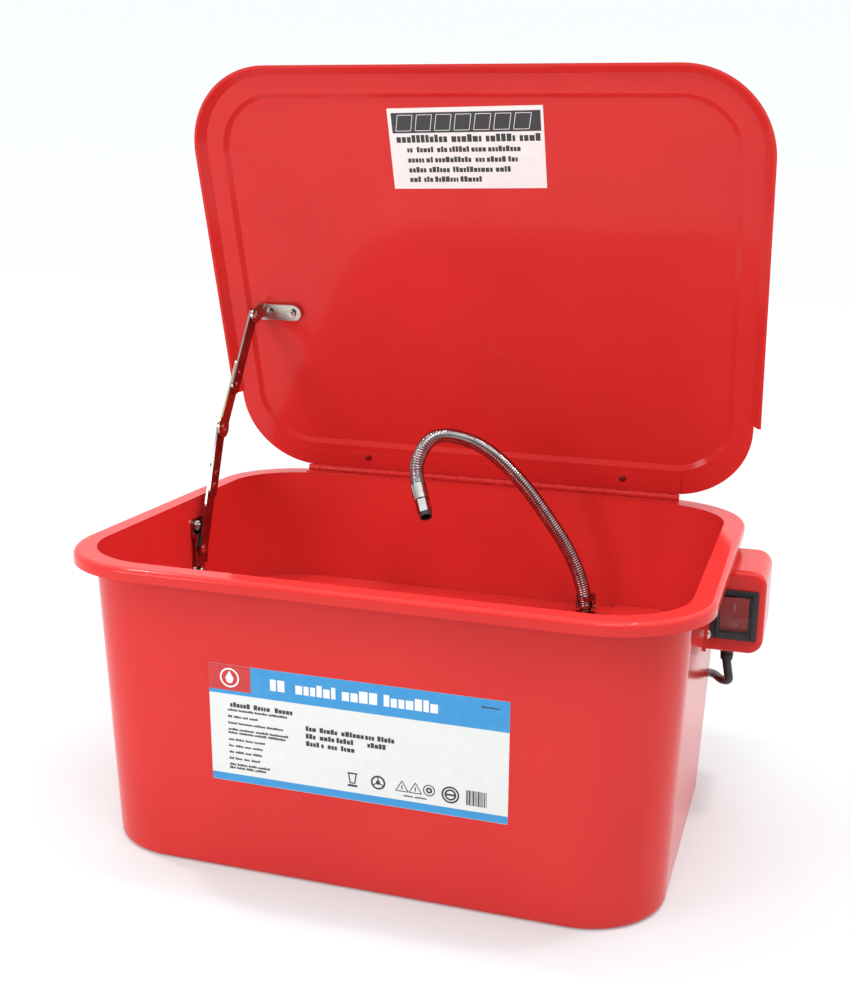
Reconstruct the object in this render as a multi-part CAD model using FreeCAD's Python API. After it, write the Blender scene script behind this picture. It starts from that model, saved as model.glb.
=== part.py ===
# Parts washer tank: an open steel tank with a hinged lid, a folding lid stay with a fusible strip,
# a pump under a work shelf, a flexible metal spout, a side switch box and a mains cord.
# Millimetres. +Z is up, -Y is the front, +X is the side with the switch box.
# The origin is the middle of the tank's flat base, on the surface that the tank stands on.
import FreeCAD, Part
import math
import os

V = FreeCAD.Vector

# Sheet-metal tank
SHEET = 1.2
BASE_X, BASE_FRONT, BASE_REAR = 207.7, -158.3, 150.0
OPEN_X, OPEN_FRONT, OPEN_REAR = 215.3, -172.5, 164.5
CORNER_R = 60.0
BASE_EDGE_R = 5.0
RIM_TOP = 225.0
RIM_X, RIM_FRONT, RIM_REAR = 230.0, -187.5, 186.5
RIM_CORNER_R = 74.0
RIM_DEPTH = 9.0
RIM_EDGE_R = 4.0

# Lid, drawn shut, then swung open about the hinge
HINGE_Y, HINGE_Z = 174.5, 228.0
LID_LEAN = 18.4
LID_TRAVEL = 90.0 - LID_LEAN
LID_HALF = 234.4
LID_REACH = 364.5
LID_CORNER_R = 71.0
LIP_OUT, LIP_DROP = 7.5, 7.5
LIP_END = 73.0
LID_REAR_HALF, LID_REAR_R = 228.6, 66.0
LID_START = 1.5
LID_INNER_Z = HINGE_Z + 3.0
PANEL_HALF, PANEL_NEAR, PANEL_FAR = 212.5, 24.0, 342.0
PANEL_RISE, PANEL_SLOPE, PANEL_R = 3.0, 4.0, 50.0

# Piano hinge
BARREL_R, PIN_R, PIN_BORE_R = 3.0, 1.5, 1.57
HINGE_HALF = 170.3
KNUCKLES = 31
KNUCKLE_GAP = 0.3
LEAF_T, RIM_LEAF_W, LID_LEAF_W, LEAF_NEAR = 1.0, 9.4, 18.0, 2.7
LID_SCREW_XS, LID_SCREW_OUT = (-112.0, 121.0), 13.5

# Folding lid stay, in the plane of the left wall: points are (y, z) with the lid open
STAY_TOP = (118.6, 370.3)
STAY_ELBOW = (60.5, 281.0)
STAY_FOOT = (27.0, 182.0)
STRIP_W, STRIP_T = 14.0, 1.6
LAYER_GAP = 0.3
RIVET_R, RIVET_BORE_R, RIVET_HEAD_R, RIVET_HEAD_T = 2.5, 2.56, 4.2, 1.4
EAR_X = -200.6
UPPER_TOP_X = EAR_X - LAYER_GAP - STRIP_T
UPPER_LOW_X = UPPER_TOP_X - STRIP_T
LOWER_TOP_X = UPPER_LOW_X - LAYER_GAP - STRIP_T
FOOT_STRIP_X = LOWER_TOP_X - STRIP_T
LID_BRACKET_SCREW_XS = (-190.0, -169.0)
LAP_RIVET_R = 1.5
ELBOW_EYE_R = 9.5
UPPER_LAPS = (0.516, 0.62)
LOWER_LAPS = (0.52, 0.62)

# Shelf, pump and spout
SHELF_TOP = 130.5
SHELF_EDGE = 4.0
SPOUT_X, SPOUT_Y = 102.0, 129.0
SPOUT_HEADING = 205.0
SPOUT_R, SPOUT_BORE_R = 6.0, 4.2
SPOUT_PIVOT_Z = 137.5
YOKE_R, YOKE_IN, YOKE_OUT = 8.0, 6.5, 8.1
# Spout route: (distance out from the base, distance to the front of its upright plane, height)
SPOUT_ROUTE = ((0.0, 0.0, 137.5), (2.2, 0.0, 152.0), (15.5, 0.0, 184.8), (40.3, 0.0, 220.5),
               (59.2, 0.0, 245.7), (91.7, 0.0, 276.6), (124.3, 0.0, 286.6), (140.2, 0.0, 281.2),
               (148.3, 0.0, 262.5), (148.7, 1.4, 251.5), (147.0, 11.5, 242.0))
COLLAR_LENGTH, COLLAR_LAP, COLLAR_TOP_R, COLLAR_LOW_R = 26.5, 3.0, 6.9, 6.2
COLLAR_HEX_START, COLLAR_HEX_FLAT = 14.0, 5.3
NOZZLE_R, NOZZLE_BORE_R, NOZZLE_LENGTH = 5.0, 3.8, 3.4

# Switch box on the right wall
BOX_FRONT, BOX_BACK = 33.0, 105.0
BOX_LOW, BOX_HIGH, BOX_OUT = 142.0, 206.5, 254.0
BOX_WALL, BOX_SIDE_R, BOX_FRONT_R = 2.0, 11.5, 4.5
SWITCH_X, SWITCH_Z = 232.0, 172.5
BEZEL_W, BEZEL_H, BEZEL_T = 34.0, 38.5, 2.5
ROCKER_W, ROCKER_H = 21.0, 27.0
ROCKER_PIVOT_Y = BOX_FRONT + 0.5
TRUNNION_R, TRUNNION_BORE_R = 1.5, 1.56
TAB_Z = 160.0

# Pump cable: up through the shelf, then through a grommet in the right wall into the box
CABLE_R, CABLE_HOLE_R = 3.0, 4.5
CABLE_RISE_X, CABLE_END_X = 196.0, 224.0
GLAND_Y, GLAND_Z = 60.0, 160.0
GLAND_X = BASE_X + (OPEN_X - BASE_X) * GLAND_Z / RIM_TOP
GLAND_NECK_R, GLAND_FLANGE_R = 5.0, 7.0

# Mains cord: round lead, coil on the floor close behind the tank, three-pin plug
CORD_R = 3.5
CORD_EXIT = (226.0, 72.0)
CORD_ROUTE = ((226.0, 72.0, 124.0), (226.5, 74.0, 112.0), (223.5, 81.0, 105.5), (218.5, 94.0, 101.5),
              (216.0, 112.0, 97.0), (207.0, 138.0, 88.0), (189.0, 163.0, 74.0), (165.0, 183.0, 56.0),
              (139.0, 194.0, 36.0), (114.0, 201.0, 17.0), (90.0, 204.0, 6.0), (66.0, 205.0, 4.0))
COIL_X, COIL_Y = 66.0, 250.0
COIL_MID_R, COIL_HALF = 38.5, 9.5
TAIL_ROUTE = ((66.0, 211.5, 16.0), (44.0, 209.5, 14.0), (22.0, 209.5, 7.0), (0.0, 212.5, 3.8),
              (-22.0, 218.0, 4.4), (-46.0, 223.5, 8.0), (-72.0, 225.0, 9.5))
PLUG_X, PLUG_LONG, PLUG_WIDE, PLUG_THICK = -72.0, 48.0, 50.0, 20.0
PIN_LONG, EARTH_PIN_LONG, PIN_APART = 17.7, 22.7, 22.0

os.makedirs("parts", exist_ok=True)


def save(name, shape):
    """Write one node and print its volume."""
    shape.exportStep("parts/" + name + ".step")
    print("%-18s %10.1f mm3  solids %d  valid %s" % (name, shape.Volume, len(shape.Solids), shape.isValid()))


def outline(x0, x1, y0, y1, radius, z):
    """Closed wire of a rectangle with rounded corners, at height z."""
    k = radius * math.sqrt(0.5)
    corners = ((x1 - radius, y0 + radius, 1, -1), (x1 - radius, y1 - radius, 1, 1),
               (x0 + radius, y1 - radius, -1, 1), (x0 + radius, y0 + radius, -1, -1))
    edges = []
    last = None
    first = None
    for index, (cx, cy, sx, sy) in enumerate(corners):
        ends = (V(cx, cy + sy * radius, z), V(cx + sx * radius, cy, z))
        if index % 2:
            ends = (ends[1], ends[0])
        if last is not None:
            edges.append(Part.LineSegment(last, ends[0]).toShape())
        else:
            first = ends[0]
        middle = V(cx + sx * k, cy + sy * k, z)
        edges.append(Part.Arc(ends[0], middle, ends[1]).toShape())
        last = ends[1]
    edges.append(Part.LineSegment(last, first).toShape())
    return Part.Wire(edges)


def plate(x0, x1, y0, y1, radius, z0, z1):
    """Upright prism on a rounded rectangle."""
    return Part.Face(outline(x0, x1, y0, y1, radius, z0)).extrude(V(0, 0, z1 - z0))


def taper(low, high):
    """Solid between two rounded outlines of the same kind."""
    return Part.makeLoft([low, high], True, True)


def block(x0, x1, y0, y1, z0, z1):
    return Part.makeBox(x1 - x0, y1 - y0, z1 - z0, V(x0, y0, z0))


def rod(radius, start, end):
    """Cylinder from one point to another."""
    run = V(*end) - V(*start)
    return Part.makeCylinder(radius, run.Length, V(*start), run)


def merge(shapes):
    body = shapes[0]
    for extra in shapes[1:]:
        body = body.fuse(extra)
    return body.removeSplitter()


def smooth(shape, radius, test):
    """Fillet the edges that pass the test."""
    edges = [edge for edge in shape.Edges if test(edge)]
    return shape.makeFillet(radius, edges)


def runs_and_arcs(points, report=None):
    """Straight runs joined by the largest tangent arcs that they allow."""
    pts = [V(*p) for p in points]
    edges = []
    radii = []
    cursor = pts[0]
    for before, corner, after in zip(pts, pts[1:], pts[2:]):
        back = before - corner
        on = after - corner
        cut = 0.45 * min(back.Length, on.Length)
        back.normalize()
        on.normalize()
        half_turn = 0.5 * (math.pi - back.getAngle(on))
        radius = cut / math.tan(half_turn)
        middle_way = back + on
        middle_way.normalize()
        near = corner + back * cut
        far = corner + on * cut
        middle = corner + middle_way * (math.hypot(radius, cut) - radius)
        edges.append(Part.LineSegment(cursor, near).toShape())
        edges.append(Part.Arc(near, middle, far).toShape())
        radii.append(radius)
        cursor = far
    edges.append(Part.LineSegment(cursor, pts[-1]).toShape())
    if report:
        print(report, "arc radii", " ".join("%.0f" % r for r in radii))
    return Part.Wire(edges)


def tube(points, radius, report=None):
    """Round bar swept along runs and arcs."""
    path = runs_and_arcs(points, report)
    start = V(*points[0])
    heading = V(*points[1]) - start
    ring = Part.Wire([Part.makeCircle(radius, start, heading)])
    solid = path.makePipeShell([ring], True, True)
    if report:
        print(report, "length %.0f mm, volume over section times length %.4f"
              % (path.Length, solid.Volume / (math.pi * radius ** 2 * path.Length)))
    return solid


def dome(radius, height, base, axis):
    """Low round head standing on base, out along axis."""
    ball_r = (radius ** 2 + height ** 2) / (2 * height)
    axis = V(*axis)
    axis.normalize()
    centre = V(*base) + axis * (height - ball_r)
    ball = Part.makeSphere(ball_r, centre)
    return ball.common(Part.makeCylinder(radius + 1.0, height + 1.0, V(*base), axis))


def with_lid(shape):
    """Swing a shape that was drawn on the shut lid to the open rest pose."""
    turned = shape.copy()
    turned.rotate(V(0, HINGE_Y, HINGE_Z), V(1, 0, 0), -LID_TRAVEL)
    return turned


def wall_outside(extra=0.0):
    """Solid bounded by the outside of the tank wall, grown by extra."""
    low = outline(-BASE_X - extra, BASE_X + extra, BASE_FRONT - extra, BASE_REAR + extra,
                  CORNER_R + extra, 0.0)
    high = outline(-OPEN_X - extra, OPEN_X + extra, OPEN_FRONT - extra, OPEN_REAR + extra,
                   CORNER_R + extra, RIM_TOP)
    return taper(low, high)


def wall_x(z):
    """Half width of the tank's outside at height z."""
    return BASE_X + (OPEN_X - BASE_X) * z / RIM_TOP


def wall_rear(z):
    return BASE_REAR + (OPEN_REAR - BASE_REAR) * z / RIM_TOP


def make_tank():
    outer = wall_outside()
    outer = smooth(outer, BASE_EDGE_R, lambda e: e.BoundBox.ZMax < 0.01)
    inner = wall_outside(-SHEET)
    inner = inner.common(block(-300, 300, -300, 300, SHEET, RIM_TOP + 1))
    inner = smooth(inner, BASE_EDGE_R - SHEET, lambda e: e.BoundBox.ZMax < SHEET + 0.01)
    well = plate(-OPEN_X + SHEET, OPEN_X - SHEET, OPEN_FRONT + SHEET, OPEN_REAR - SHEET,
                 CORNER_R - SHEET, RIM_TOP - 2.0, RIM_TOP + 1.0)
    rim = plate(-RIM_X, RIM_X, RIM_FRONT, RIM_REAR, RIM_CORNER_R, RIM_TOP - RIM_DEPTH, RIM_TOP)
    rim = smooth(rim, RIM_EDGE_R, lambda e: e.BoundBox.ZMin > RIM_TOP - 0.01)
    hollow = plate(-RIM_X + SHEET, RIM_X - SHEET, RIM_FRONT + SHEET, RIM_REAR - SHEET,
                   RIM_CORNER_R - SHEET, RIM_TOP - RIM_DEPTH - 1.0, RIM_TOP - SHEET)
    hollow = smooth(hollow, RIM_EDGE_R - SHEET, lambda e: e.BoundBox.ZMin > RIM_TOP - SHEET - 0.01)
    shell = rim.cut(hollow).fuse(outer).cut(inner).cut(well)
    gland_hole = rod(GLAND_NECK_R, (GLAND_X - 20, GLAND_Y, GLAND_Z), (GLAND_X + 20, GLAND_Y, GLAND_Z))
    return shell.cut(gland_hole).removeSplitter()


def make_lid_panel():
    top = LID_INNER_Z + SHEET
    crease_half = LID_HALF - LIP_OUT
    front = HINGE_Y - LID_REACH
    crease_front = front + LIP_OUT
    mid = HINGE_Y - LIP_END
    crease_r = LID_CORNER_R - LIP_OUT

    def flared(drop_z, inset):
        low = outline(-LID_HALF + inset, LID_HALF - inset, front + inset, HINGE_Y + 60,
                      LID_CORNER_R - inset, LID_INNER_Z - LIP_DROP - drop_z)
        high = outline(-crease_half + inset, crease_half - inset, crease_front + inset,
                       HINGE_Y + 60 - LIP_OUT, crease_r - inset, LID_INNER_Z - drop_z)
        return taper(low, high)

    skirt = flared(-SHEET, -0.5).cut(flared(0.0, 0.5))
    skirt = skirt.common(block(-300, 300, front - 5, mid, LID_INNER_Z - LIP_DROP, top))
    main = plate(-crease_half, crease_half, crease_front, mid + 40, crease_r, LID_INNER_Z, top)
    main = main.common(block(-300, 300, -300, mid, 0, 400))
    tail = plate(-LID_REAR_HALF, LID_REAR_HALF, mid - 80, HINGE_Y - LID_START, LID_REAR_R, LID_INNER_Z, top)
    tail = tail.common(block(-300, 300, mid, 300, 0, 400))
    flat = merge([main, tail, skirt])
    x0, y0, y1 = PANEL_HALF, HINGE_Y - PANEL_FAR, HINGE_Y - PANEL_NEAR
    step = PANEL_SLOPE

    def frustum(z, inset):
        low = outline(-x0 + inset, x0 - inset, y0 + inset, y1 - inset, PANEL_R - inset, z)
        high = outline(-x0 + step + inset, x0 - step - inset, y0 + step + inset, y1 - step - inset,
                       PANEL_R - step - inset, z + PANEL_RISE)
        return taper(low, high)

    raised = frustum(top, -0.5)
    pocket = frustum(LID_INNER_Z, 0.5)
    return with_lid(flat.fuse(raised).cut(pocket).removeSplitter())


def knuckles(first):
    """Every second knuckle of the hinge barrel, starting at the given one."""
    pitch = 2 * HINGE_HALF / KNUCKLES
    rings = []
    for index in range(first, KNUCKLES, 2):
        x = -HINGE_HALF + index * pitch + KNUCKLE_GAP / 2
        ring = rod(BARREL_R, (x, HINGE_Y, HINGE_Z), (x + pitch - KNUCKLE_GAP, HINGE_Y, HINGE_Z))
        rings.append(ring)
    return rings


def leaf_teeth(first, z0, z1):
    """Fingers that join the leaf to its own knuckles."""
    pitch = 2 * HINGE_HALF / KNUCKLES
    teeth = []
    for index in range(first, KNUCKLES, 2):
        x = -HINGE_HALF + index * pitch + KNUCKLE_GAP / 2
        teeth.append(block(x, x + pitch - KNUCKLE_GAP, HINGE_Y - BARREL_R - 1.0, HINGE_Y, z0, z1))
    return teeth


def make_leaf(first, width, z0, bore_r, screw_xs, screw_out):
    z1 = z0 + LEAF_T
    leaf = block(-HINGE_HALF, HINGE_HALF, HINGE_Y - width, HINGE_Y - LEAF_NEAR, z0, z1)
    leaf = leaf.fuse(leaf_teeth(first, z0, z1) + knuckles(first))
    for x in screw_xs:
        leaf = leaf.cut(rod(1.6, (x, HINGE_Y - screw_out, z0 - 1), (x, HINGE_Y - screw_out, z1 + 1)))
    bore = rod(bore_r, (-HINGE_HALF - 1, HINGE_Y, HINGE_Z), (HINGE_HALF + 1, HINGE_Y, HINGE_Z))
    return leaf.cut(bore).removeSplitter()


def make_lid_screws():
    screws = []
    for x in LID_SCREW_XS:
        y = HINGE_Y - LID_SCREW_OUT
        shank = rod(1.6, (x, y, LID_INNER_Z - LEAF_T), (x, y, LID_INNER_Z))
        head = dome(3.2, 1.4, (x, y, LID_INNER_Z - LEAF_T), (0, 0, -1))
        screws.append(with_lid(shank.fuse(head).removeSplitter()))
    return Part.makeCompound(screws)


def strip(points, x0, holes=()):
    """Flat bar with round ends between two (y, z) points; x0 is its low side."""
    (ya, za), (yb, zb) = points
    half = STRIP_W / 2
    a, b = V(x0, ya, za), V(x0, yb, zb)
    along = b - a
    length = along.Length
    angle = math.degrees(math.atan2(along.z, along.y))
    bar = Part.makeBox(STRIP_T, length, STRIP_W, V(x0, ya, za - half))
    bar.rotate(a, V(1, 0, 0), angle)
    ends = [Part.makeCylinder(half, STRIP_T, p, V(1, 0, 0)) for p in (a, b)]
    bar = merge([bar] + ends)
    for (y, z), radius in holes:
        bar = bar.cut(Part.makeCylinder(radius, STRIP_T + 2, V(x0 - 1, y, z), V(1, 0, 0)))
    return bar


def between(a, b, share):
    return (a[0] + (b[0] - a[0]) * share, a[1] + (b[1] - a[1]) * share)


def lap_holes(a, b, shares):
    return tuple((between(a, b, share), LAP_RIVET_R) for share in shares)


def small_rivets(a, b, shares, x_low, x_high):
    """Flush lap rivets through two strips, with a shallow head on each side."""
    rivets = []
    for share in shares:
        y, z = between(a, b, share)
        shank = rod(LAP_RIVET_R, (x_low, y, z), (x_high, y, z))
        heads = [dome(2.4, 0.8, (x_low, y, z), (-1, 0, 0)), dome(2.4, 0.8, (x_high, y, z), (1, 0, 0))]
        rivets.append(merge([shank] + heads))
    return rivets


def pivot_rivet(point, x_low, x_high):
    y, z = point
    shank = rod(RIVET_R, (x_low, y, z), (x_high, y, z))
    heads = [dome(RIVET_HEAD_R, RIVET_HEAD_T, (x_low, y, z), (-1, 0, 0)),
             dome(RIVET_HEAD_R, RIVET_HEAD_T, (x_high, y, z), (1, 0, 0))]
    return merge([shank] + heads)


def nut_on_stud(across, height, stud_r, stud_out, base, way):
    """Hex nut with chamfered corners, and the end of its stud standing out of it."""
    way = V(*way)
    corner_r = across / math.sqrt(3)
    corners = [V(corner_r * math.cos(math.radians(a)), corner_r * math.sin(math.radians(a)), 0)
               for a in range(15, 375, 60)]
    nut = Part.Face(Part.makePolygon(corners + [corners[0]])).extrude(V(0, 0, height))
    nut = nut.common(Part.makeCone(corner_r + height, across / 2, height))
    stud = Part.makeCylinder(stud_r, height + stud_out)
    both = merge([nut, stud])
    both.Placement = FreeCAD.Placement(V(*base), FreeCAD.Rotation(V(0, 0, 1), way))
    return both


def make_lid_bracket():
    """Angle bracket: a plate on the lid's inner face with an ear that carries the stay."""
    y, z = STAY_TOP
    plate_len, ear_reach = 40.0, 11.0
    pivot = V(0, y, z)
    # the same pivot with the lid shut
    shut = pivot - V(0, HINGE_Y, HINGE_Z)
    turn = math.radians(LID_TRAVEL)
    sy = HINGE_Y + shut.y * math.cos(turn) - shut.z * math.sin(turn)
    sz = HINGE_Z + shut.y * math.sin(turn) + shut.z * math.cos(turn)
    half = 7.2
    face = LID_INNER_Z
    flat = block(EAR_X, EAR_X + plate_len - half, sy - half, sy + half, face - STRIP_T, face)
    nose = Part.makeCylinder(half, STRIP_T, V(EAR_X + plate_len - half, sy, face - STRIP_T), V(0, 0, 1))
    ear = block(EAR_X, EAR_X + STRIP_T, sy - half, sy + half, sz, face)
    ear = ear.fuse(Part.makeCylinder(half, STRIP_T, V(EAR_X, sy, sz), V(1, 0, 0)))
    bracket = merge([flat, nose, ear])
    bracket = bracket.cut(rod(RIVET_BORE_R, (EAR_X - 1, sy, sz), (EAR_X + STRIP_T + 1, sy, sz)))
    screws = []
    for x in LID_BRACKET_SCREW_XS:
        bracket = bracket.cut(rod(2.0, (x, sy, face - STRIP_T - 1), (x, sy, face + 1)))
        nut = nut_on_stud(7.0, 2.4, 2.0, 1.6, (x, sy, face - STRIP_T), (0, 0, -1))
        shank = rod(2.0, (x, sy, face - STRIP_T - 0.5), (x, sy, face))
        screws.append(with_lid(merge([shank, nut])))
    print("stay pivot on the shut lid: y %.2f z %.2f, %.1f below the lid face" % (sy, sz, face - sz))
    return with_lid(bracket), Part.makeCompound(screws)


def make_wall_bracket():
    """Strap on the left wall, bridged out in the middle where the stay's foot turns."""
    y, z = STAY_FOOT
    bridge_x = FOOT_STRIP_X - LAYER_GAP - STRIP_T
    foot_face = bridge_x - 1.4
    half_w, half_h, bridge_half = 10.0, 26.0, 12.0
    bridge = block(bridge_x, bridge_x + STRIP_T, y - half_w, y + half_w, z - bridge_half, z + bridge_half)
    parts = [bridge]
    for side in (-1, 1):
        z0, z1 = sorted((z + side * bridge_half, z + side * half_h))
        parts.append(block(-230, foot_face, y - half_w, y + half_w, z0, z1))
        z0, z1 = sorted((z + side * (bridge_half - STRIP_T), z + side * (bridge_half + 2.0)))
        parts.append(block(-230, bridge_x + STRIP_T, y - half_w, y + half_w, z0, z1))
    strap = merge(parts)
    strap = strap.common(wall_outside(-SHEET))
    strap = smooth(strap, 5.0, lambda e: e.BoundBox.XLength > 0.5
                   and e.BoundBox.YLength + e.BoundBox.ZLength < 0.02
                   and abs(e.BoundBox.ZMin - z) > half_h - 0.5)
    strap = strap.cut(rod(RIVET_BORE_R, (-225, y, z), (-190, y, z)))
    bolts = []
    for bolt_z, height, stud_out in ((z - 19.5, 3.0, 2.0), (z + 19.5, 2.0, 0.6)):
        bolts.append(nut_on_stud(8.0, height, 2.4, stud_out, (foot_face, y, bolt_z), (1, 0, 0)))
    return strap, Part.makeCompound(bolts)


def make_shelf():
    """Drain shelf with a turned-down edge, drain holes and a slot where the spout comes up."""
    gap = 0.4
    edge_r = CORNER_R - SHEET - gap
    half = wall_x(SHELF_TOP - SHELF_EDGE) - SHEET - gap
    front = BASE_FRONT + (OPEN_FRONT - BASE_FRONT) * (SHELF_TOP - SHELF_EDGE) / RIM_TOP + SHEET + gap
    rear = wall_rear(SHELF_TOP - SHELF_EDGE) - SHEET - gap
    tray = plate(-half, half, front, rear, edge_r, SHELF_TOP - SHELF_EDGE, SHELF_TOP)
    tray = smooth(tray, 2.0, lambda e: e.BoundBox.ZMin > SHELF_TOP - 0.01)
    under = plate(-half + SHEET, half - SHEET, front + SHEET, rear - SHEET, edge_r - SHEET,
                  SHELF_TOP - SHELF_EDGE - 1, SHELF_TOP - SHEET)
    tray = tray.cut(under)
    slot = plate(SPOUT_X, SPOUT_X + 20, SPOUT_Y - 6, SPOUT_Y + 3, 3, SHELF_TOP - 5, SHELF_TOP + 5)
    slot = slot.fuse(rod(9.0, (SPOUT_X, SPOUT_Y, SHELF_TOP - 5), (SPOUT_X, SPOUT_Y, SHELF_TOP + 5)))
    holes = []
    for row in range(7):
        for column in range(13):
            x = -168 + column * 28
            y = -128 + row * 30
            holes.append(Part.makeCylinder(4.0, 6, V(x, y, SHELF_TOP - 4)))
    return tray.cut(slot).cut(Part.makeCompound(holes)).cut(cable_hole())


def cable_hole():
    """Where the pump's cable comes up through the shelf and the cover plate."""
    return rod(CABLE_HOLE_R, (CABLE_RISE_X, GLAND_Y, SHELF_TOP - 8), (CABLE_RISE_X, GLAND_Y, SHELF_TOP + 8))


def make_shelf_brackets():
    """Four small angles, welded to the walls, that the shelf sits on."""
    angles = []
    z = SHELF_TOP - SHELF_EDGE
    for x in (-1, 1):
        for y in (-70, 82):
            reach = wall_x(z)
            ledge = block(reach - 18, reach + 3, y - 12, y + 12, z - 1.6, z)
            leg = block(reach - 2.8, reach + 3, y - 12, y + 12, z - 18, z)
            angle = merge([ledge, leg])
            if x < 0:
                angle = angle.mirror(V(0, 0, 0), V(1, 0, 0))
            angles.append(angle.common(wall_outside(-SHEET)))
    return Part.makeCompound(angles)


def make_pump_cover():
    """Raised cover plate at the rear right of the shelf, over the pump."""
    z0, z1 = SHELF_TOP + 0.0, SHELF_TOP + 2.0
    cover = plate(SPOUT_X + 21, 280, 40, 230, 6, z0, z1)
    room = plate(-wall_x(z0) + SHEET + 0.5, wall_x(z0) - SHEET - 0.5, -120, wall_rear(z0) - SHEET - 0.5,
                 CORNER_R - SHEET, z0 - 1, z1 + 1)
    return cover.common(room).cut(cable_hole())


def make_pump():
    """Submersible pump: foot strainer, volute housing, impeller and outlet."""
    cx, cy = SPOUT_X, 106.0
    x0, x1, y0, y1 = cx - 38, cx + 38, 66, 144
    low, deck, top = SHEET + 0.8, 12.0, 74.0
    strainer = plate(x0 - 2, x1 + 2, y0 - 2, y1 + 0.5, 12, low, deck)
    strainer = strainer.cut(plate(x0 + 2, x1 - 2, y0 + 2, y1 - 3, 8, low - 1, deck - 2))
    for index in range(9):
        x = x0 + 10 + index * 7
        strainer = strainer.cut(block(x, x + 3, y0 - 10, y1 + 10, low + 2, deck - 3))
    strainer = strainer.cut(rod(7, (cx, cy, deck - 3), (cx, cy, deck + 1)))
    housing = plate(x0, x1, y0, y1, 14, deck, top)
    housing = smooth(housing, 6, lambda e: e.BoundBox.ZMin > top - 0.01)
    housing = housing.cut(rod(23, (cx, cy, deck + 2), (cx, cy, deck + 18)))
    housing = housing.cut(rod(7, (cx, cy, deck - 1), (cx, cy, deck + 3)))
    housing = housing.cut(rod(2.07, (cx, cy, deck + 17), (cx, cy, deck + 34)))
    outlet_bore = rod(4.5, (SPOUT_X, SPOUT_Y, deck + 10), (SPOUT_X, SPOUT_Y, top + 1))
    housing = housing.cut(outlet_bore)
    for index in range(5):
        z = 34 + index * 7
        housing = housing.cut(block(x0 - 1, x0 + 1.5, y0 + 16, y1 - 16, z, z + 3))
        housing = housing.cut(block(x1 - 1.5, x1 + 1, y0 + 16, y1 - 16, z, z + 3))
    hub = rod(7, (cx, cy, deck + 4), (cx, cy, deck + 16))
    disc = rod(20, (cx, cy, deck + 4), (cx, cy, deck + 6))
    shaft = rod(2.0, (cx, cy, deck + 15), (cx, cy, deck + 32))
    blades = []
    for index in range(6):
        blade = block(cx + 5, cx + 20, cy - 1, cy + 1, deck + 4, deck + 15)
        blade.rotate(V(cx, cy, 0), V(0, 0, 1), index * 60)
        blades.append(blade)
    impeller = merge([hub, disc, shaft] + blades)
    riser = rod(8.0, (SPOUT_X, SPOUT_Y, top), (SPOUT_X, SPOUT_Y, 123.0))
    nut = Part.makeCylinder(11.0, 9.0, V(SPOUT_X, SPOUT_Y, top))
    collar = Part.makeCylinder(10.0, 10.0, V(SPOUT_X, SPOUT_Y, 113.0))
    riser = merge([riser, nut, collar])
    riser = riser.cut(rod(4.5, (SPOUT_X, SPOUT_Y, top - 1), (SPOUT_X, SPOUT_Y, 101)))
    riser = riser.cut(rod(5.06, (SPOUT_X, SPOUT_Y, 100), (SPOUT_X, SPOUT_Y, 124)))
    return strainer, housing, impeller, riser


def make_swivel():
    """Ball fitting that turns in the riser and carries the spout."""
    stem = rod(5.0, (SPOUT_X, SPOUT_Y, 102), (SPOUT_X, SPOUT_Y, 124))
    shoulder = rod(6.0, (SPOUT_X, SPOUT_Y, 123.3), (SPOUT_X, SPOUT_Y, 126.5))
    neck = rod(4.0, (SPOUT_X, SPOUT_Y, 126), (SPOUT_X, SPOUT_Y, SPOUT_PIVOT_Z))
    ball = Part.makeSphere(5.9, V(SPOUT_X, SPOUT_Y, SPOUT_PIVOT_Z))
    pin = rod(PIN_R, (SPOUT_X - YOKE_OUT - 0.6, SPOUT_Y, SPOUT_PIVOT_Z),
              (SPOUT_X + YOKE_OUT + 0.6, SPOUT_Y, SPOUT_PIVOT_Z))
    through = rod(2.5, (SPOUT_X, SPOUT_Y, 90), (SPOUT_X, SPOUT_Y, 150))
    return merge([stem, shoulder, neck, ball, pin]).cut(through)


def spout_point(out, front, z):
    heading = math.radians(SPOUT_HEADING)
    x = SPOUT_X + out * math.cos(heading) - front * math.sin(heading)
    y = SPOUT_Y + out * math.sin(heading) + front * math.cos(heading)
    return (x, y, z)


def make_yoke(hose):
    """Ring round the foot of the hose, with two ears that turn on the ball fitting's cross pin."""
    z = SPOUT_PIVOT_Z
    ring = Part.makeCylinder(YOKE_R, 3.5, V(SPOUT_X, SPOUT_Y, z + 6.0))
    parts = [ring.cut(hose)]
    for side in (-1, 1):
        x0, x1 = sorted((SPOUT_X + side * YOKE_IN, SPOUT_X + side * YOKE_OUT))
        parts.append(block(x0, x1, SPOUT_Y - 3.2, SPOUT_Y + 3.2, z, z + 9.5))
        parts.append(rod(3.2, (x0, SPOUT_Y, z), (x1, SPOUT_Y, z)))
    yoke = merge(parts).cut(hose)
    return yoke.cut(rod(PIN_BORE_R, (SPOUT_X - 12, SPOUT_Y, z), (SPOUT_X + 12, SPOUT_Y, z)))


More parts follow.
